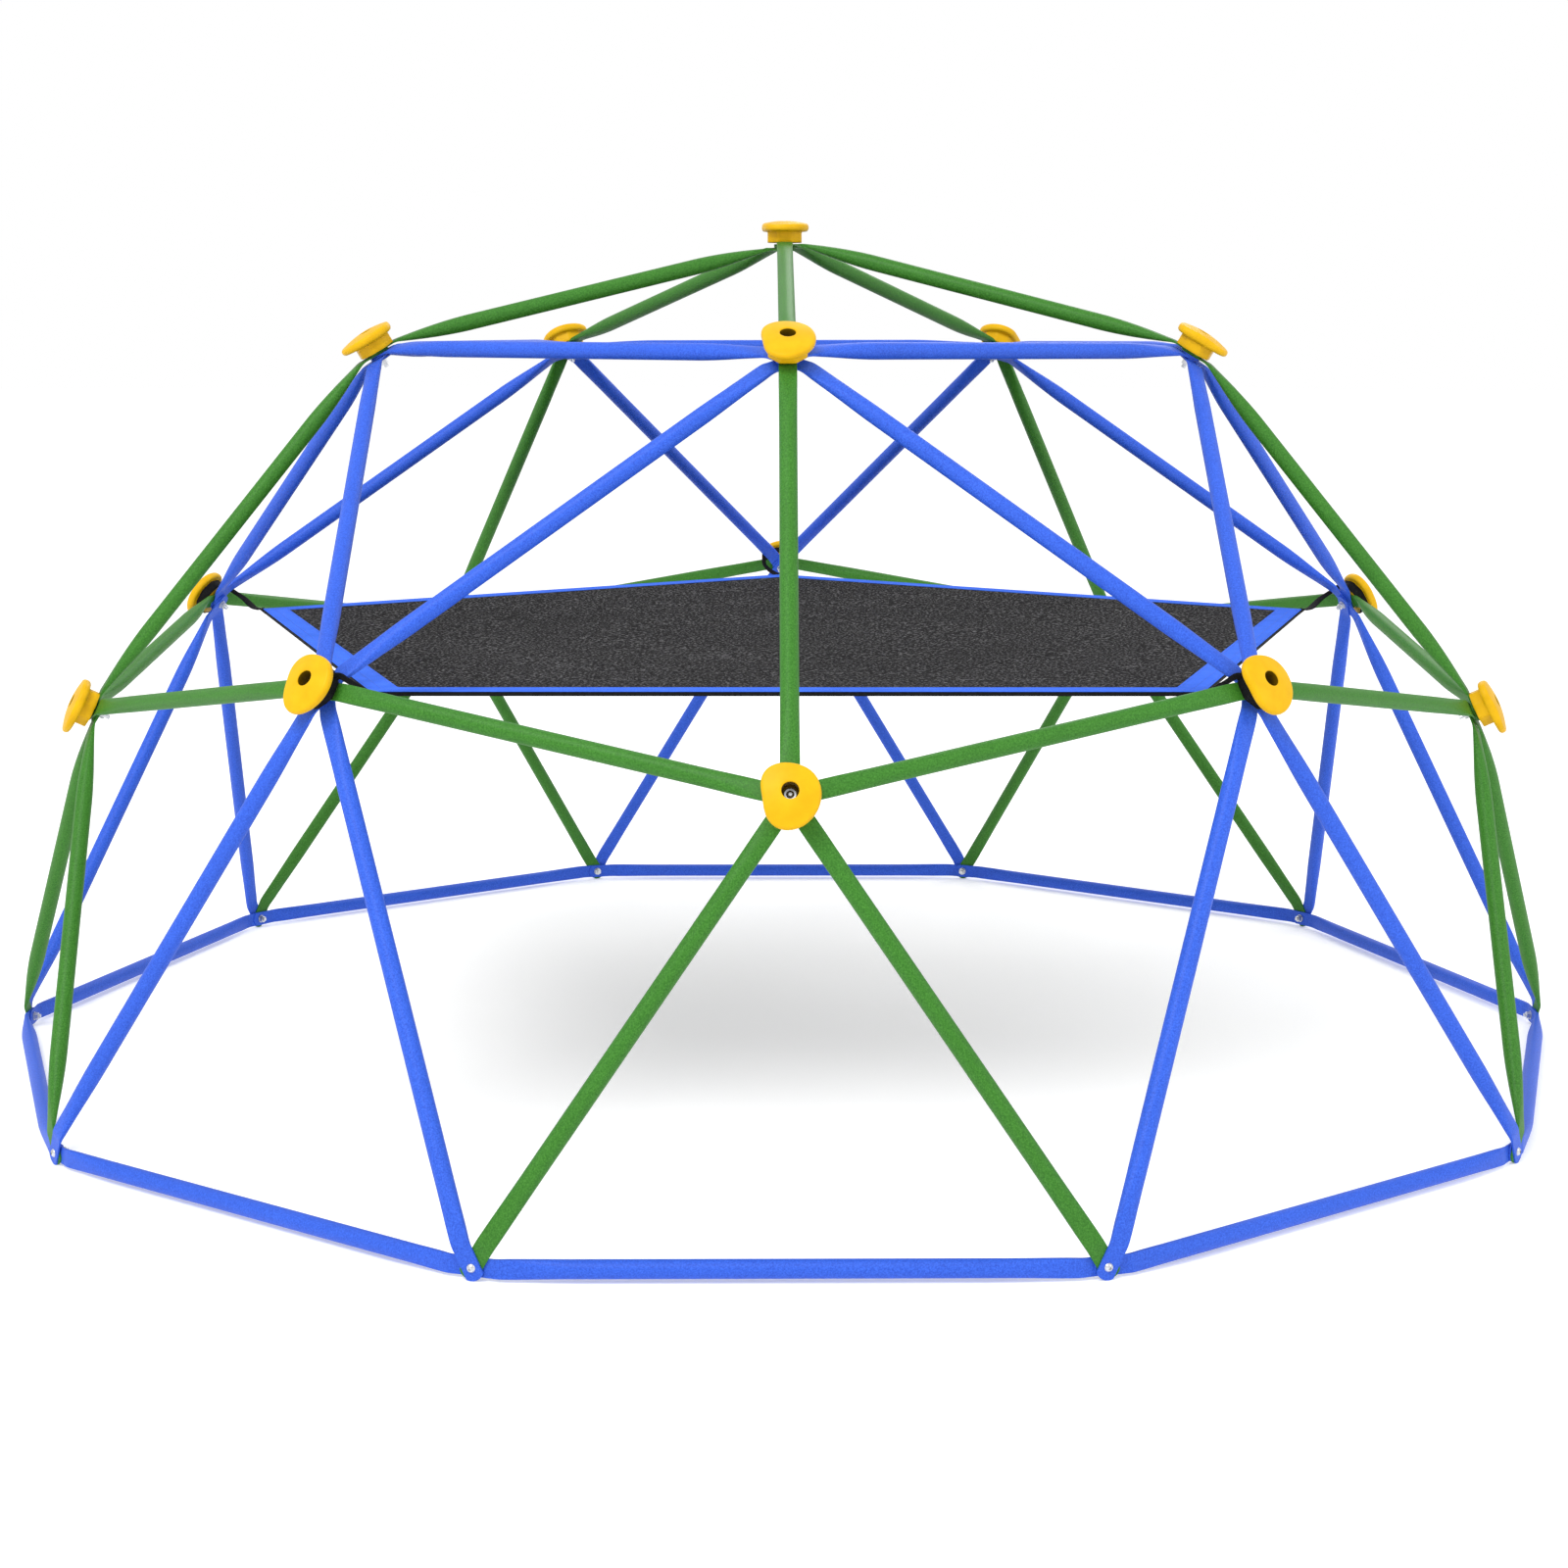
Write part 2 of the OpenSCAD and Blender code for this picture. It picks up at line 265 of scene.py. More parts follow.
def strut_stations():
    """Half of a strut's stations, from its rounded end: distance past the bolt, half width,
    half thickness, and how blunt the section is from 0, round, to 1, flat."""
    start = TAB_REACH - BEND_EASE
    widest = -math.sqrt(TAB_END_R**2 - (TAB_W / 2) ** 2)
    rounded = [
        -TAB_END_R + (TAB_END_R + widest) * (i / END_STEPS) ** 2 for i in range(END_STEPS + 1)
    ]
    for d in [*rounded, 0, 0.012, 0.022, start]:
        half_w = min(math.sqrt(max(TAB_END_R**2 - min(d, 0) ** 2, 1e-7)), TAB_W / 2)
        yield d, half_w, TAB_T / 2 if d > rounded[1] else TAB_T / 2 - TAB_CHAMFER, 1
    for i in range(1, CRIMP_STEPS + 1):
        swell = (i / CRIMP_STEPS) ** 1.3
        half_w = TAB_W / 2 + (TUBE_R - TAB_W / 2) * smoothstep(swell)
        half_t = TAB_T / 2 + (TUBE_R - TAB_T / 2) * (1 - (1 - swell) ** CRIMP_EASE)
        yield start + swell * (CRIMP_TAIL + BEND_EASE), half_w, half_t, (1 - swell) ** 3


STATIONS = list(strut_stations())


def bent(tab_point, tilt, bend, run, d):
    """The middle of a strut at distance d past its bolt, with the corner at the bend eased."""
    into_tab = np.array([math.cos(tilt), math.sin(tilt)])
    past = d - TAB_REACH
    if past <= -BEND_EASE:
        return tab_point + d * into_tab, into_tab
    if past >= BEND_EASE:
        return bend + past * run, run
    t = (past + BEND_EASE) / (2 * BEND_EASE)
    a, c = bend - BEND_EASE * into_tab, bend + BEND_EASE * run
    point = (1 - t) ** 2 * a + 2 * t * (1 - t) * bend + t * t * c
    return point, unit((1 - t) * (bend - a) + t * (c - bend))


def strut(p, q, p_out, q_out):
    """A tube between joints p and q, its tabs p_out and q_out off the joints' tangent planes."""
    span = np.linalg.norm(q - p)
    x = (q - p) / span
    y = unit(np.cross((p + q) / 2 - CENTRE, x))
    z = np.cross(x, y)
    p_tilt = math.asin(-outward(p) @ x)
    q_tilt = math.asin(outward(q) @ x)
    p_tab = p_out * np.array([-math.sin(p_tilt), math.cos(p_tilt)])
    q_tab = np.array([span, 0]) + q_out * np.array([math.sin(q_tilt), math.cos(q_tilt)])
    p_bend = p_tab + TAB_REACH * np.array([math.cos(p_tilt), math.sin(p_tilt)])
    q_bend = q_tab + TAB_REACH * np.array([-math.cos(q_tilt), math.sin(q_tilt)])
    run = unit(q_bend - p_bend)
    turn = np.radians(np.arange(AROUND) * 360 / AROUND)
    squared = np.clip(BLUNT * np.sin(turn), -1, 1)

    def ring(point, heading, half_w, half_t, flat):
        across = half_w * np.cos(turn)
        high = half_t * (np.sin(turn) + flat * (squared - np.sin(turn)))
        local = point[:, None] + high * np.array([[-heading[1]], [heading[0]]])
        return p + np.outer(local[0], x) + np.outer(across, y) + np.outer(local[1], z)

    rings = []
    for d, half_w, half_t, flat in STATIONS:
        point, heading = bent(p_tab, p_tilt, p_bend, run, d)
        rings.append(ring(point, heading, half_w, half_t, flat))
    mirror = np.array([-1, 1])
    for d, half_w, half_t, flat in reversed(STATIONS):
        point, heading = bent(q_tab * mirror, q_tilt, q_bend * mirror, run * [1, -1], d)
        rings.append(ring(point * mirror, heading * [1, -1], half_w, half_t, flat))
    return loft(rings)


def struts_by_node():
    """Each tube node's struts, as the part names them."""
    upper = [on_ring(UPPER, upper_a(k)) for k in range(-1, SECTORS + 1)]
    made = {}
    for k in range(SECTORS):
        crown = on_ring(CROWN, FRONT)
        u, u_next = upper[k + 1], upper[k + 2]
        star = on_ring(STAR, upper_a(k))
        sling, sling_before = on_ring(SLING, sling_a(k)), on_ring(SLING, sling_a(k - 1))
        base = [on_ring(BASE, base_a(2 * k + j)) for j in range(3)]
        n = k + 1
        made[f"crown_tube_{n}"] = [strut(crown, u, layer(k, STAR_TABS), layer(0, UPPER_TABS))]
        made[f"upper_ring_tube_{n}"] = [
            strut(u, u_next, layer(2, UPPER_TABS), layer(3, UPPER_TABS))
        ]
        made[f"upper_post_{n}"] = [strut(u, star, layer(1, UPPER_TABS), layer(0, STAR_TABS))]
        made[f"upper_brace_pair_{n}"] = [
            strut(u, sling, layer(4, UPPER_TABS), layer(2, SLING_TABS)),
            strut(u, sling_before, layer(5, UPPER_TABS), layer(3, SLING_TABS)),
        ]
        made[f"middle_ring_pair_{n}"] = [
            strut(star, sling, layer(1, STAR_TABS), layer(0, SLING_TABS)),
            strut(star, sling_before, layer(2, STAR_TABS), layer(1, SLING_TABS)),
        ]
        made[f"lower_post_pair_{n}"] = [
            strut(star, base[1], layer(3, STAR_TABS), layer(1, BASE_TABS)),
            strut(star, base[0], layer(4, STAR_TABS), layer(1, BASE_TABS)),
        ]
        made[f"lower_brace_pair_{n}"] = [
            strut(sling, base[1], layer(4, SLING_TABS), layer(0, BASE_TABS)),
            strut(sling, base[2], layer(5, SLING_TABS), layer(0, BASE_TABS)),
        ]
        made[f"base_ring_pair_{n}"] = [
            strut(base[0], base[1], layer(2, BASE_TABS), layer(3, BASE_TABS)),
            strut(base[1], base[2], layer(2, BASE_TABS), layer(3, BASE_TABS)),
        ]
    return made


def build_tubes(green, blue):
    for node, struts in struts_by_node().items():
        piece = mesh_object(f"{node}_steel", struts, sharp=60)
        is_green = node.startswith(GREEN_TUBES)
        piece.data.materials.append(green if is_green else blue)
        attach(piece, "frame")
        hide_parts(node)


# Holds


def cap_edge(a):
    """The cap's outline seen from outside: widest above the middle and narrowest at the bottom."""
    return 0.001 * (
        47.8 - 4.1 * np.sin(a) - 3.4 * np.cos(2 * a) - np.sin(2 * a) + 1.7 * np.cos(3 * a)
        + 2 * np.sin(3 * a) - 0.6 * np.cos(4 * a) - 0.6 * np.sin(4 * a)
    )


def neck_edge(a, sharpness=34):
    """An octagon with softened corners, as a radius."""
    facets = np.radians(np.arange(NECK_SIDES) * 360 / NECK_SIDES)
    reach = np.clip(np.cos(a[:, None] - facets), 0, None) ** sharpness
    return NECK_W / 2 * reach.sum(axis=1) ** (-1 / sharpness)


def hold(tabs, origin, axes):
    a = np.radians(np.arange(HOLD_AROUND) * 360 / HOLD_AROUND)
    neck, rim = neck_edge(a), cap_edge(a)
    total = NECK_H + CAP_T

    def face(r):
        return total - CAP_CROWN_R + np.sqrt(CAP_CROWN_R**2 - r**2)

    def round_ring(r, z):
        return np.full_like(a, r), np.full_like(a, z)

    rings = [round_ring(BOLT_HOLE_R, 0), (neck - 0.0006, np.zeros_like(a)), (neck, a * 0 + 0.0006)]
    rings += [(neck, a * 0 + NECK_H * t) for t in (0.3, 0.6)]
    for t in np.radians([0, 30, 60, 90]):
        rings.append(
            (neck + NECK_FILLET * (1 - np.cos(t)), a * 0 + NECK_H - NECK_FILLET * (1 - np.sin(t)))
        )
    inner = neck + NECK_FILLET
    rings.append(((inner + rim - RIM_R) / 2, a * 0 + NECK_H))
    top = face(rim - RIM_R)
    half = (top - NECK_H) / 2
    for t in np.radians(np.arange(-90, 91, 15)):
        squeeze = np.sign(np.sin(t)) * abs(np.sin(t)) ** 0.85
        rings.append((rim - RIM_R * (1 - np.cos(t)), NECK_H + half * (1 + squeeze)))
    for t in np.linspace(0.12, 0.92, 9):
        r = (rim - RIM_R) * (1 - t) + (RECESS_R + RECESS_LIP) * t
        rings.append((r, face(r)))
    for t in np.radians([0, 30, 60, 90]):
        r = RECESS_R + RECESS_LIP * (1 - math.sin(t))
        height = face(RECESS_R + RECESS_LIP) - RECESS_LIP * (1 - math.cos(t))
        rings.append(round_ring(r, height))
    rings += [round_ring(RECESS_R - 0.0002, z) for z in (0.030, 0.022, RECESS_FLOOR + 0.0012)]
    rings += [
        round_ring(RECESS_R - 0.0012, RECESS_FLOOR), round_ring(0.0095, RECESS_FLOOR),
        round_ring(BOLT_HOLE_R, RECESS_FLOOR)
    ]
    foot = stack_half(tabs) + GAP
    shaped = []
    for r, z in rings:
        local = np.stack([-r * np.sin(a), r * np.cos(a), foot + z], axis=1)
        shaped.append(origin + local @ axes.T)
    return loft(shaped, looped=True)


def build_holds(plastic, recess):
    places = {
        "crown_hold": (CROWN, STAR_TABS, [FRONT]),
        "upper_holds": (UPPER, UPPER_TABS, [upper_a(k) for k in range(SECTORS)]),
        "star_holds": (STAR, STAR_TABS, [upper_a(k) for k in range(SECTORS)]),
        "sling_holds": (SLING, SLING_TABS, [sling_a(k) for k in range(SECTORS)]),
    }
    for node, (ring, tabs, azimuths) in places.items():
        piece = mesh_object(
            f"{node}_moulded", [hold(tabs, *joint_frame(ring, a)) for a in azimuths], sharp=75
        )
        piece.data.materials.append(plastic)
        piece.data.materials.append(recess)
        bands = len(piece.data.polygons) // (HOLD_AROUND * len(azimuths))
        # the recess faces take the second slot, the same plastic darkened as painted shade
        for face in piece.data.polygons:
            if face.index // HOLD_AROUND % bands >= bands - RECESS_BANDS:
                face.material_index = 1
        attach(piece, "frame")
        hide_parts(node)


# Hammock


def pentagon(inset, z, corner=0.006, per_corner=5, per_side=40):
    """A five-cornered ring of points, inset from the hammock's edge, with eased corners."""
    r = HAMMOCK_R - inset / APOTHEM_SHARE
    tips = [np.array([*(r * unit(on_ring((1, 0), sling_a(k))[:2])), z]) for k in range(SECTORS)]
    points = []
    for k in range(SECTORS):
        before, tip, after = tips[k - 1], tips[k], tips[(k + 1) % SECTORS]
        a, c = tip + corner * unit(before - tip), tip + corner * unit(after - tip)
        for t in np.linspace(0, 1, per_corner):
            points.append((1 - t) ** 2 * a + 2 * t * (1 - t) * tip + t * t * c)
        end = after + corner * unit(tip - after)
        points += [c + (end - c) * i / per_side for i in range(1, per_side)]
    return np.array(points)


def pentagon_band(name, section):
    """A closed band swept round the hammock from a section of (inset, z) points."""
    rings = np.array([pentagon(inset, z) for inset, z in section])
    return mesh_object(name, [loft(rings.transpose(1, 0, 2), looped=True)], sharp=60, uv=True)


def panel_grid(rows=40):
    """A pentagon of triangles, and how far out each point lies, from 0 to 1 at the edge."""
    inner = 1 - BORDER_W / (HAMMOCK_R * APOTHEM_SHARE)
    shares = [*np.linspace(0, inner, rows + 1), (1 + inner) / 2, 1]
    reach = HAMMOCK_R - 0.002
    index, points, outs, faces = {}, [], [], []

    def point(i, j, a, b):
        xy = shares[i] * (a + (b - a) * (j / i if i else 0))
        key = tuple(np.round(xy, 6) + 0.0)
        if key not in index:
            index[key] = len(points)
            points.append([*xy, HAMMOCK_TOP - BORDER_T - GAP])
            outs.append(shares[i])
        return index[key]

    for k in range(SECTORS):
        a = reach * unit(on_ring((1, 0), sling_a(k))[:2])
        b = reach * unit(on_ring((1, 0), sling_a(k + 1))[:2])
        for i in range(len(shares) - 1):
            for j in range(i + 1):
                p, q, r = point(i, j, a, b), point(i + 1, j, a, b), point(i + 1, j + 1, a, b)
                faces.append([p, q, r])
                if j < i:
                    faces.append([p, r, point(i, j + 1, a, b)])
    return np.array(points), np.array(outs), faces, inner


def slung_panel():
    """The mesh panel, hung by its taped edge and let down under its own weight."""
    points, outs, faces, inner = panel_grid()
    panel = mesh_object("hammock_panel", [(points, faces, [])], sharp=180)
    pins = panel.vertex_groups.new(name="pins")
    pins.add([i for i, out in enumerate(outs) if out > inner - 1e-4], 1, "REPLACE")
    cloth = panel.modifiers.new("hang", "CLOTH")
    cloth.settings.vertex_group_mass = "pins"
    cloth.settings.quality = 6
    cloth.settings.mass = 0.25
    cloth.settings.tension_stiffness = cloth.settings.compression_stiffness = 40
    cloth.settings.bending_stiffness = 2
    cloth.settings.air_damping = 4
    cloth.collision_settings.use_collision = False
    scene = bpy.context.scene
    scene.frame_start, scene.frame_end = 1, HANG_FRAMES
    for frame in range(1, HANG_FRAMES + 1):
        scene.frame_set(frame)
    hung = panel.evaluated_get(bpy.context.evaluated_depsgraph_get())
    moved = np.array([v.co for v in hung.data.vertices]) - points
    panel.modifiers.remove(cloth)
    deepest = -moved[:, 2].min()
    print(f"the panel hangs {deepest * 1000:.1f} mm")
    points = points + moved * min(1, SAG / deepest)
    scene.frame_set(1)
    panel.data.vertices.foreach_set("co", points.ravel())
    thick = panel.modifiers.new("thick", "SOLIDIFY")
    thick.thickness = MESH_T * 0.7
    thick.offset = -1
    depsgraph = bpy.context.evaluated_depsgraph_get()
    panel.data = bpy.data.meshes.new_from_object(panel.evaluated_get(depsgraph))
    panel.modifiers.clear()
    return panel


def pill(start, end, up, width, height):
    """A low stitch: a run of thread that dips into the cloth at both ends."""
    along, side = end - start, unit(np.cross(end - start, up))
    rings = []
    for t, size in ((0, 0.35), (0.22, 0.9), (0.5, 1), (0.78, 0.9), (1, 0.35)):
        middle = start + along * t + up * height * (size - 0.6)
        rings.append([
            middle + side * width * size * math.cos(w) / 2 + up * height * size * math.sin(w) / 2
            for w in np.radians([0, 60, 120, 180, 240, 300])
        ])
    return loft(rings)


def stitch_row(line, up, length=0.0038, space=0.0017, width=0.0009, height=0.0007):
    """Stitches along an open line of points."""
    line = np.asarray(line)
    steps = np.linalg.norm(np.diff(line, axis=0), axis=1)
    at = np.concatenate([[0], np.cumsum(steps)])

    def place(s):
        return np.array([np.interp(s, at, line[:, i]) for i in range(3)])

    starts = np.arange(space, at[-1] - length, length + space)
    return [pill(place(s), place(s + length), up, width, height) for s in starts]


def strap_path(k, side):
    """Points along a strap's tail, the direction across it there and its width."""
    origin, axes = joint_frame(SLING, sling_a(k))
    flip = np.array([1, side, 1])
    points = np.array([step[0] for step in TAIL])
    across = np.array([unit(step[1]) for step in TAIL])
    sizes = np.array([step[2] for step in TAIL])

    def curve(values, i, t):
        a, b, c, d = (values[min(max(i + n, 0), len(values) - 1)] for n in (-1, 0, 1, 2))
        return 0.5 * (2 * b + (c - a) * t + (2 * a - 5 * b + 4 * c - d) * t**2
                      + (3 * b - a - 3 * c + d) * t**3)

    path, directions, widths = [], [], []
    for i in range(len(TAIL) - 1):
        for t in np.arange(TAIL_SAMPLES) / TAIL_SAMPLES:
            path.append(origin + (curve(points, i, t) * flip) @ axes.T)
            directions.append(unit((curve(across, i, t) * flip) @ axes.T))
            widths.append(curve(sizes, i, t))
    return path, directions, widths


def ribbon(path, directions, widths, thickness):
    """A flat strap with rounded edges along a path."""
    path = np.asarray(path)
    heading = np.gradient(path, axis=0)
    rings = []
    for p, w, width, h in zip(path, directions, widths, heading):
        w = unit(w - (w @ unit(h)) * unit(h) * 0.5)
        up = unit(np.cross(h, w))
        half_w, half_t = width / 2, thickness / 2
        section = [(half_w - half_t, half_t), (0, half_t), (half_t - half_w, half_t),
                   (-half_w, 0.4 * half_t), (-half_w, -0.4 * half_t),
                   (half_t - half_w, -half_t), (0, -half_t), (half_w - half_t, -half_t),
                   (half_w, -0.4 * half_t), (half_w, 0.4 * half_t)]
        rings.append([p + w * x + up * z for x, z in section])
    return loft(rings)


def build_straps(webbing, thread):
    for k, side in enumerate(STRAP_SIDES):
        origin, axes = joint_frame(SLING, sling_a(k))
        # the band pulled tight round the eight-sided pedestal
        a = np.radians(np.arange(BAND_AROUND) * 360 / BAND_AROUND)
        foot = stack_half(SLING_TABS) + 2 * GAP
        inner = neck_edge(a, sharpness=24) + 0.0004
        ease = 0.0007
        section = [(0, ease), (0, STRAP_W - ease), (ease, STRAP_W), (STRAP_T - ease, STRAP_W),
                   (STRAP_T, STRAP_W - ease), (STRAP_T, ease), (STRAP_T - ease, 0), (ease, 0)]
        rings = [
            [origin + axes @ [-(r + d) * math.sin(t), (r + d) * math.cos(t), foot + z]
             for d, z in section]
            for r, t in zip(inner, a)
        ]
        parts = [loft(rings, looped=True)]
        # the tail, and its sewn end under the hammock's corner
        path, directions, widths = strap_path(k, side)
        tip = np.array([*(HAMMOCK_R * unit(on_ring((1, 0), sling_a(k))[:2])), 0])
        inwards = -unit(tip)
        under = HAMMOCK_TOP - BORDER_T - MESH_T - EDGE_T - STRAP_T * 0.55
        across = np.cross(inwards, UP) * side
        if across @ directions[-1] < 0:
            across = -across
        tip[2] = under
        for d in (0.010, 0.018, 0.034, 0.050, 0.066):
            path.append(tip + inwards * d)
            directions.append(across)
            widths.append(STRAP_W)
        parts.append(ribbon(path, directions, widths, STRAP_T))
        piece = mesh_object(f"strap_{k + 1}_webbing", parts, sharp=60, uv=True)
        piece.data.materials.append(webbing)
        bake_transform(piece)
        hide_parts(f"strap_{k + 1}")
        # a stitched box with a cross holds the end on
        near, far = tip + inwards * 0.026, tip + inwards * 0.062
        half = across * BOX_HALF_W
        box = [near - half, near + half, far + half, far - half]
        box = [p - UP * STRAP_T * 0.5 for p in box]
        rows = []
        for s, e in ((0, 1), (1, 2), (2, 3), (3, 0), (0, 2), (1, 3)):
            rows += stitch_row([box[s], box[e]], -UP, length=0.0028, space=0.0012)
        sewn = mesh_object(f"strap_{k + 1}_stitching", rows, sharp=80)
        sewn.data.materials.append(thread)
        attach(sewn, "hammock")


def build_hammock(mesh_cloth, tape, webbing, thread):
    panel = slung_panel()
    panel.data.materials.append(mesh_cloth)
    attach(panel, "hammock")
    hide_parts("hammock_mesh")

    low, high, ease = HAMMOCK_TOP - BORDER_T, HAMMOCK_TOP, 0.0004
    border = pentagon_band("hammock_border_tape", [
        (ease, low), (0, low + ease), (0, high - ease), (ease, high),
        (BORDER_W * 0.25, high), (BORDER_W * 0.5, high), (BORDER_W * 0.75, high),
        (BORDER_W - ease, high), (BORDER_W, high - ease), (BORDER_W, low + ease),
        (BORDER_W - ease, low), (BORDER_W * 0.5, low),
    ])
    border.data.materials.append(tape)
    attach(border, "hammock")
    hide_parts("hammock_border")

    # the edge webbing covers the panel's cut edge, bulges a little past the tape and lies under it
    under, bottom, proud = low - MESH_T, low - MESH_T - EDGE_T, -0.0008
    edging = pentagon_band("hammock_edge_webbing", [
        (0.0008, bottom), (-0.0002, bottom + 0.0006), (proud, bottom + 0.0018),
        (proud, low - 0.0012), (-0.0002, low - 0.0003), (0.0008, low - GAP), (0.0013, low - GAP),
        (0.0016, under),
        (WEBBING_W * 0.5, under - GAP), (WEBBING_W - 0.0008, under - GAP),
        (WEBBING_W, under - 0.0010), (WEBBING_W, bottom + 0.0008),
        (WEBBING_W - 0.0008, bottom), (WEBBING_W * 0.5, bottom),
    ])
    edging.data.materials.append(webbing)
    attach(edging, "hammock")
    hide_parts("hammock_edging")

    rows = []
    for inset in (0.005, 0.021, BORDER_W - 0.005):
        ring = pentagon(inset, high)
        rows += stitch_row(np.concatenate([ring, ring[:1]]), UP)
    stitching = mesh_object("hammock_stitching", rows, sharp=80)
    stitching.data.materials.append(thread)
    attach(stitching, "hammock")


# Materials


class Finish:
    """A material whose look comes from procedural nodes in the piece's own metres."""

    def __init__(self, name, roughness, metallic=0.0, specular=0.5):
        self.material = bpy.data.materials.new(name)
        self.material.use_nodes = True
        tree = self.material.node_tree
        self.nodes, self.links = tree.nodes, tree.links
        self.shader = self.nodes["Principled BSDF"]
        self.shader.inputs["Roughness"].default_value = roughness
        self.shader.inputs["Metallic"].default_value = metallic
        self.shader.inputs["Specular IOR Level"].default_value = specular
        coords = self.nodes.new("ShaderNodeTexCoord")
        self.place, self.uv = coords.outputs["Object"], coords.outputs["UV"]

    def noise(self, scale, detail=2.0, rough=0.5):
        node = self.nodes.new("ShaderNodeTexNoise")
        node.inputs["Scale"].default_value = scale
        node.inputs["Detail"].default_value = detail
        node.inputs["Roughness"].default_value = rough
        self.links.new(self.place, node.inputs["Vector"])
        return node.outputs["Fac"]

    def ramp(self, value, *stops):
        """A colour ramp of (position, colour) stops."""
        node = self.nodes.new("ShaderNodeValToRGB")
        elements = node.color_ramp.elements
        while len(elements) < len(stops):
            elements.new(0.5)
        for element, (at, colour) in zip(elements, stops):
            element.position = at
            element.color = (*colour, 1)
        self.links.new(value, node.inputs["Fac"])
        return node.outputs["Color"]

    def math(self, kind, a, b=None):
        node = self.nodes.new("ShaderNodeMath")
        node.operation = kind
        for socket, value in zip(node.inputs, (a, b)):
            if value is None:
                continue
            if isinstance(value, (int, float)):
                socket.default_value = value
            else:
                self.links.new(value, socket)
        return node.outputs["Value"]

    def mix(self, kind, share, a, b):
        node = self.nodes.new("ShaderNodeMix")
        node.data_type = "RGBA"
        node.blend_type = kind
        sockets = {s.identifier: s for s in node.inputs}
        for key, value in (("Factor_Float", share), ("A_Color", a), ("B_Color", b)):
            if isinstance(value, (int, float)):
                sockets[key].default_value = value
            else:
                self.links.new(value, sockets[key])
        return next(s for s in node.outputs if s.identifier == "Result_Color")

    def colour(self, value):
        self.links.new(value, self.shader.inputs["Base Color"])

    def rough(self, value, low, high):
        node = self.nodes.new("ShaderNodeMapRange")
        node.inputs["To Min"].default_value = low
        node.inputs["To Max"].default_value = high
        self.links.new(value, node.inputs["Value"])
        self.links.new(node.outputs["Result"], self.shader.inputs["Roughness"])

    def bump(self, *layers):
        """Layers of (height, distance in metres, strength)."""
        normal = None
        for height, distance, strength in layers:
            node = self.nodes.new("ShaderNodeBump")
            node.inputs["Distance"].default_value = distance
            node.inputs["Strength"].default_value = strength
            self.links.new(height, node.inputs["Height"])
            if normal:
                self.links.new(normal, node.inputs["Normal"])
            normal = node.outputs["Normal"]
        self.links.new(normal, self.shader.inputs["Normal"])

    def axes(self, source=None):
        node = self.nodes.new("ShaderNodeSeparateXYZ")
        self.links.new(source or self.place, node.inputs["Vector"])
        return node.outputs["X"], node.outputs["Y"], node.outputs["Z"]

    def ripple(self, value, period):
        return self.math("SINE", self.math("MULTIPLY", value, 2 * math.pi / period))


def powder_coat(name, deep, body, light):
    """Textured powder coat: grains of 1 to 3 mm, with a faint drift of tone along the tubes."""
    finish = Finish(name, 0.48, specular=0.22)
    grain, fine, drift = finish.noise(380, 4, 0.7), finish.noise(1500, 2), finish.noise(7, 2)
    speckled = finish.ramp(grain, (0.30, deep), (0.50, body), (0.70, light))
    toned = finish.ramp(drift, (0.35, (0.90, 0.90, 0.90)), (0.65, (1.0, 1.0, 1.0)))
    finish.colour(finish.mix("MULTIPLY", 0.6, speckled, toned))
    finish.rough(grain, 0.40, 0.58)
    finish.bump((grain, 0.00025, 0.55), (fine, 0.0001, 0.4))
    return finish.material


def satin_plastic(name, shade=1.0):
    """Moulded plastic with a fine satin grain and a little depth of colour. A shade below 1 darkens
    the whole colour, which is how painted shade is put into a hold's recess.
    """
    finish = Finish(name, 0.45, specular=0.12)
    grain, cloud = finish.noise(1700, 2), finish.noise(38, 3)
    tones = ((0.30, (0.650, 0.360, 0.003)), (0.55, (0.700, 0.395, 0.004)),
             (0.80, (0.735, 0.425, 0.006)))
    finish.colour(finish.ramp(cloud, *((at, tuple(shade * c for c in tone)) for at, tone in tones)))
    finish.rough(grain, 0.36, 0.50)
    finish.bump((grain, 0.00012, 0.35), (cloud, 0.0004, 0.12))
    return finish.material


def plated_steel():
    """Bright zinc with a fine grain and a slightly uneven tone."""
    finish = Finish("zinc_steel", 0.3, metallic=1.0)
    scratch, cloud = finish.noise(2600, 2, 0.6), finish.noise(140, 3)
    finish.colour(finish.ramp(
        cloud, (0.25, (0.50, 0.51, 0.53)), (0.60, (0.66, 0.67, 0.69)), (0.85, (0.74, 0.74, 0.75))
    ))
    finish.rough(scratch, 0.22, 0.42)
    finish.bump((scratch, 0.00006, 0.4))
    return finish.material


def woven_mesh():
    """Plain weave of flat black yarns about 1.6 mm apart, flecked with grey."""
    finish = Finish("mesh_fabric", 0.85, specular=0.03)
    x, y, _ = finish.axes()
    over = finish.math("MULTIPLY", finish.ripple(x, 0.0032), finish.ripple(y, 0.0032))
    fleck, cloud = finish.noise(190, 2, 0.5), finish.noise(3.2, 3)
    yarn = finish.ramp(over, (0.0, (0.010, 0.0095, 0.010)), (0.8, (0.022, 0.021, 0.022)))
    grey = finish.ramp(fleck, (0.54, (0, 0, 0)), (0.66, (0.16, 0.157, 0.16)))
    patch = finish.ramp(cloud, (0.3, (0.84, 0.84, 0.84)), (0.7, (1, 1, 1)))
    finish.colour(finish.mix("MULTIPLY", 1.0, finish.mix("ADD", 1.0, yarn, grey), patch))
    finish.bump((over, 0.0005, 0.6), (fleck, 0.0004, 0.4))
    return finish.material


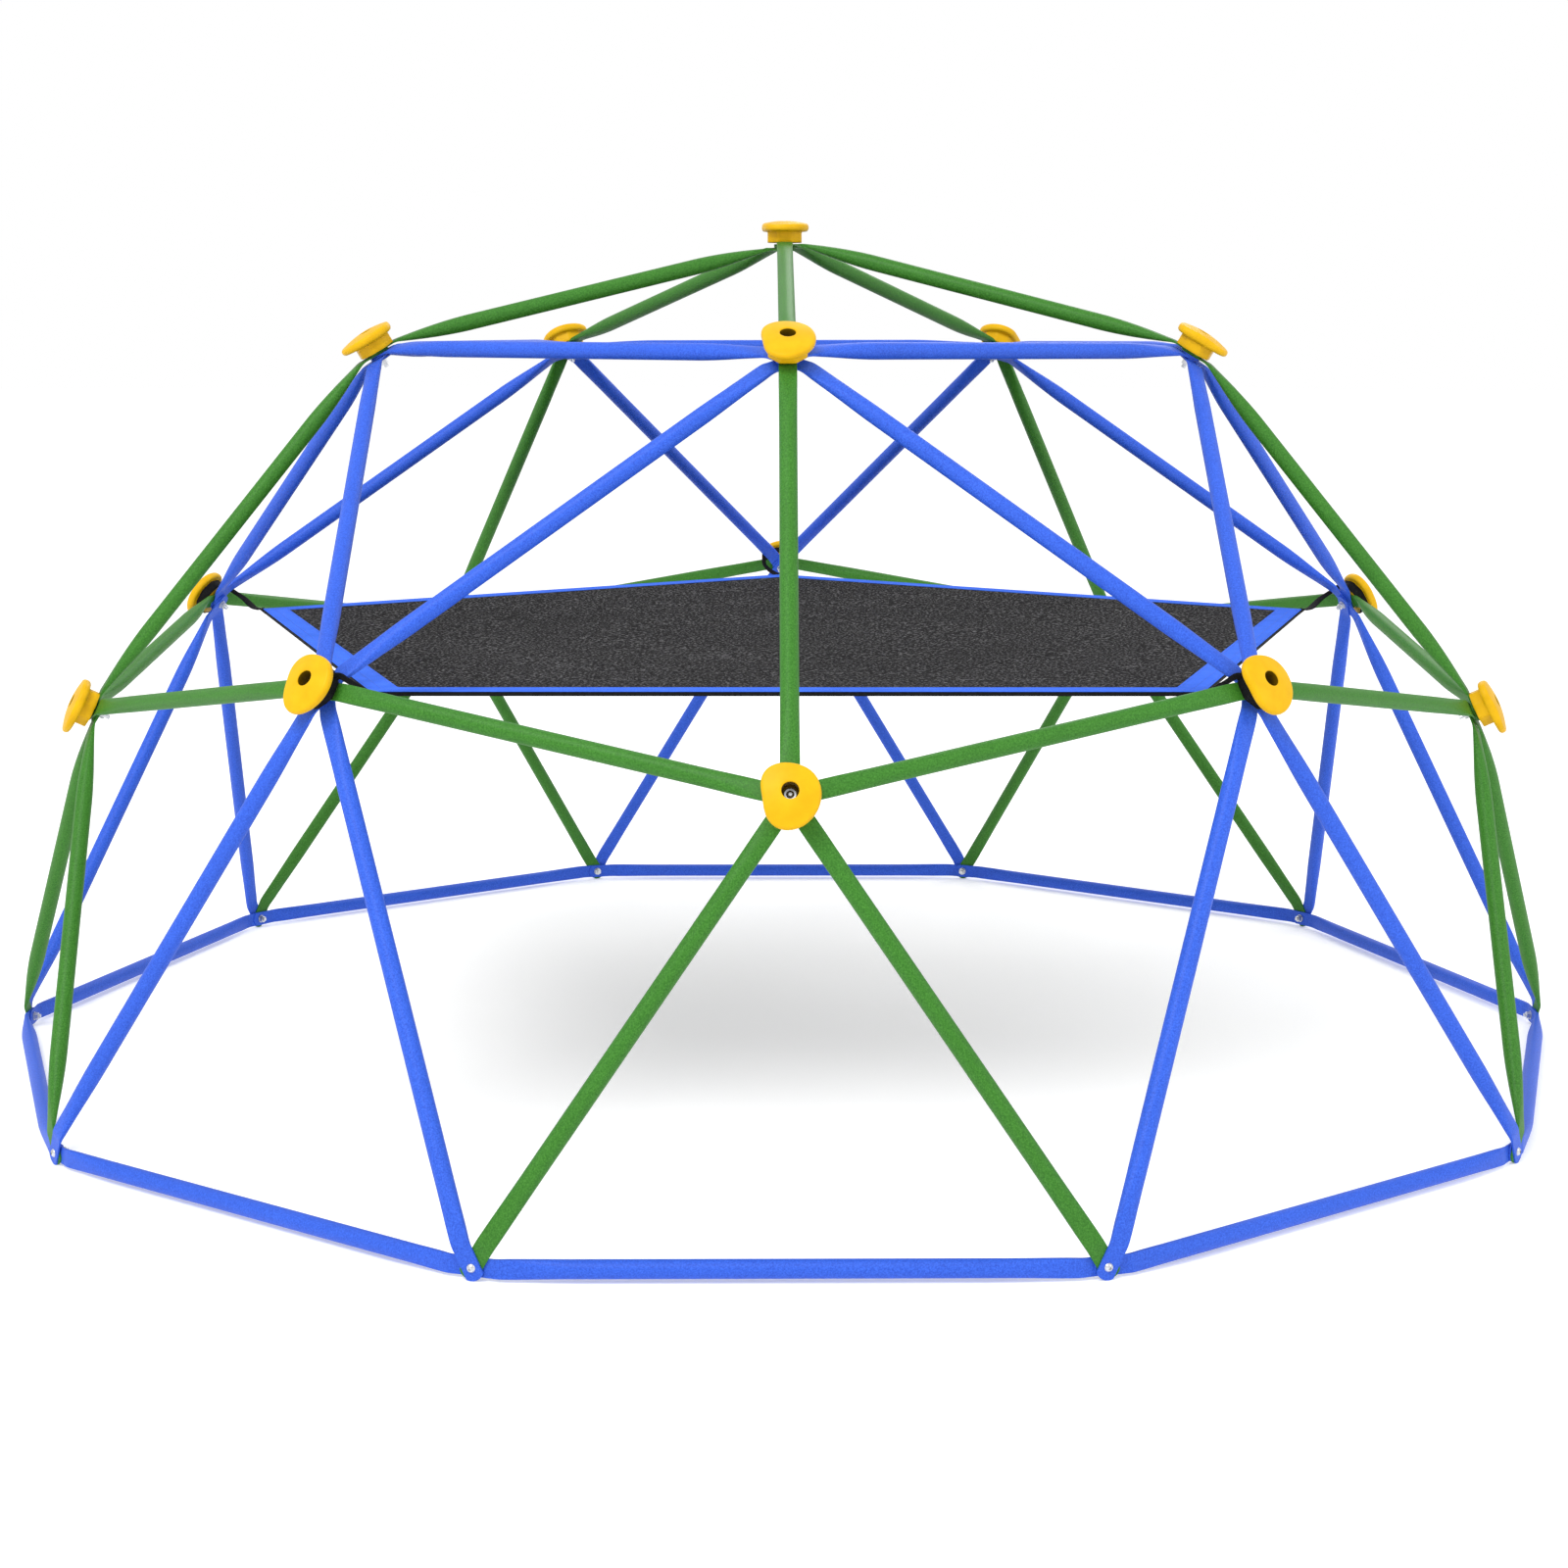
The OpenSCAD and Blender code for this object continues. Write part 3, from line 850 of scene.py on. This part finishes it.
def tape_cloth():
    """Blue polyester tape: a tight weave with a soft drift of tone and faint puckers."""
    finish = Finish("border_fabric", 0.8, specular=0.04)
    along, across, _ = finish.axes(finish.uv)
    weave = finish.math("MULTIPLY", finish.ripple(along, 0.0012), finish.ripple(across, 0.0012))
    cloud, pucker = finish.noise(26, 3), finish.noise(90, 2)
    finish.colour(finish.ramp(
        cloud, (0.30, (0.046, 0.150, 0.740)), (0.55, (0.052, 0.165, 0.810)),
        (0.80, (0.062, 0.185, 0.870)),
    ))
    finish.bump((weave, 0.0002, 0.5), (pucker, 0.0012, 0.25))
    return finish.material


def ribbed_webbing():
    """Black webbing with the close, slanting ribs of its weave."""
    finish = Finish("black_webbing", 0.7, specular=0.08)
    along, across, _ = finish.axes(finish.uv)
    rib = finish.ripple(finish.math("ADD", along, finish.math("MULTIPLY", across, 0.6)), 0.0017)
    yarn = finish.ripple(across, 0.0021)
    cloud = finish.noise(300, 3)
    finish.colour(finish.ramp(
        cloud, (0.3, (0.005, 0.005, 0.006)), (0.6, (0.009, 0.009, 0.010)),
        (0.8, (0.02, 0.02, 0.022)),
    ))
    finish.bump((rib, 0.0004, 0.6), (yarn, 0.0003, 0.4))
    return finish.material


def sewing_thread(name, colour):
    """Twisted polyester thread."""
    finish = Finish(name, 0.5, specular=0.4)
    twist = finish.noise(2400, 2)
    dark = tuple(c * 0.6 for c in colour)
    finish.colour(finish.ramp(twist, (0.35, dark), (0.6, colour)))
    finish.bump((twist, 0.0002, 0.5))
    return finish.material


def pale_floor():
    finish = Finish("studio_floor", 0.9, specular=0.0)
    cloud = finish.noise(0.8, 2)
    finish.colour(finish.ramp(cloud, (0.3, (0.86, 0.86, 0.86)), (0.7, (0.88, 0.88, 0.88))))
    finish.shader.inputs["Emission Color"].default_value = (1, 1, 1, 1)
    finish.shader.inputs["Emission Strength"].default_value = 0.3
    return finish.material


# Studio


def build_stage():
    mesh = bpy.data.meshes.new("studio_floor")
    turn = np.radians(np.arange(FLOOR_AROUND) * 360 / FLOOR_AROUND)
    verts = [(r * math.cos(t), r * math.sin(t), 0) for r in (0.05, 3, 20, 60) for t in turn]
    faces = []
    for inner in range(0, 3 * FLOOR_AROUND, FLOOR_AROUND):
        outer = inner + FLOOR_AROUND
        for a in range(FLOOR_AROUND):
            b = (a + 1) % FLOOR_AROUND
            faces.append([inner + a, outer + a, outer + b, inner + b])
    faces.append(list(range(FLOOR_AROUND)))
    mesh.from_pydata(verts, [], faces)
    mesh.materials.append(pale_floor())
    floor = bpy.data.objects.new("studio_floor", mesh)
    bpy.context.scene.collection.objects.link(floor)


def softbox(name, place, watts):
    light = bpy.data.lights.new(name, "AREA")
    light.shape = "DISK"
    light.size = LAMP_SIZE
    light.energy = watts
    lamp = bpy.data.objects.new(name, light)
    lamp.location = place
    lamp.rotation_euler = (Vector(LAMP_AIM) - Vector(place)).to_track_quat("-Z", "Y").to_euler()
    bpy.context.scene.collection.objects.link(lamp)


def build_studio():
    world = bpy.data.worlds.new("studio")
    world.use_nodes = True
    world.node_tree.nodes["Background"].inputs["Color"].default_value = (1, 1, 1, 1)
    world.node_tree.nodes["Background"].inputs["Strength"].default_value = 1.0
    bpy.context.scene.world = world
    softbox("key", (-2.5, -4.5, 6.0), 260)
    softbox("fill", (4.5, -3.0, 3.0), 40)
    softbox("back", (1.5, 5.0, 4.5), 60)

    camera = bpy.data.objects.new("camera", bpy.data.cameras.new("camera"))
    camera.data.lens = CAMERA_LENS
    camera.data.sensor_width = 36
    camera.location = CAMERA_AT
    aim = Vector(CAMERA_AIM) - camera.location
    level = aim.to_track_quat("-Z", "Y")
    camera.rotation_euler = (level @ Quaternion((0, 0, 1), CAMERA_ROLL)).to_euler()
    bpy.context.scene.collection.objects.link(camera)
    bpy.context.scene.camera = camera
    bpy.context.scene.view_settings.view_transform = "Standard"
    bpy.context.scene.view_settings.look = "None"


def finish_fasteners(nodes, zinc):
    """The bolts, nuts and washers keep their own shapes."""
    for name in ("crown_bolt", "crown_nut", "hold_bolts", "hold_nuts", "base_bolts", "base_nuts",
                 "washers"):
        for slot in nodes[name].material_slots:
            slot.material = zinc


def main():
    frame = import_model()
    green = powder_coat("green_tube", (0.018, 0.110, 0.007), (0.036, 0.172, 0.015),
                        (0.062, 0.240, 0.030))
    blue = powder_coat("blue_tube", (0.016, 0.062, 0.450), (0.028, 0.102, 0.600),
                       (0.045, 0.146, 0.740))
    webbing = ribbed_webbing()
    build_tubes(green, blue)
    # the recess material is the hold plastic at 0.16 of its brightness: painted shade in the hole,
    # not a colour of the plastic
    build_holds(satin_plastic("hold_plastic"), satin_plastic("hold_recess_painted_shade", shade=0.16))
    tape_thread = sewing_thread("tape_thread", (0.05, 0.15, 0.8))
    build_hammock(woven_mesh(), tape_cloth(), webbing, tape_thread)
    build_straps(webbing, sewing_thread("webbing_thread", (0.02, 0.02, 0.022)))
    finish_fasteners(frame["nodes"], plated_steel())
    build_stage()
    build_studio()


main()
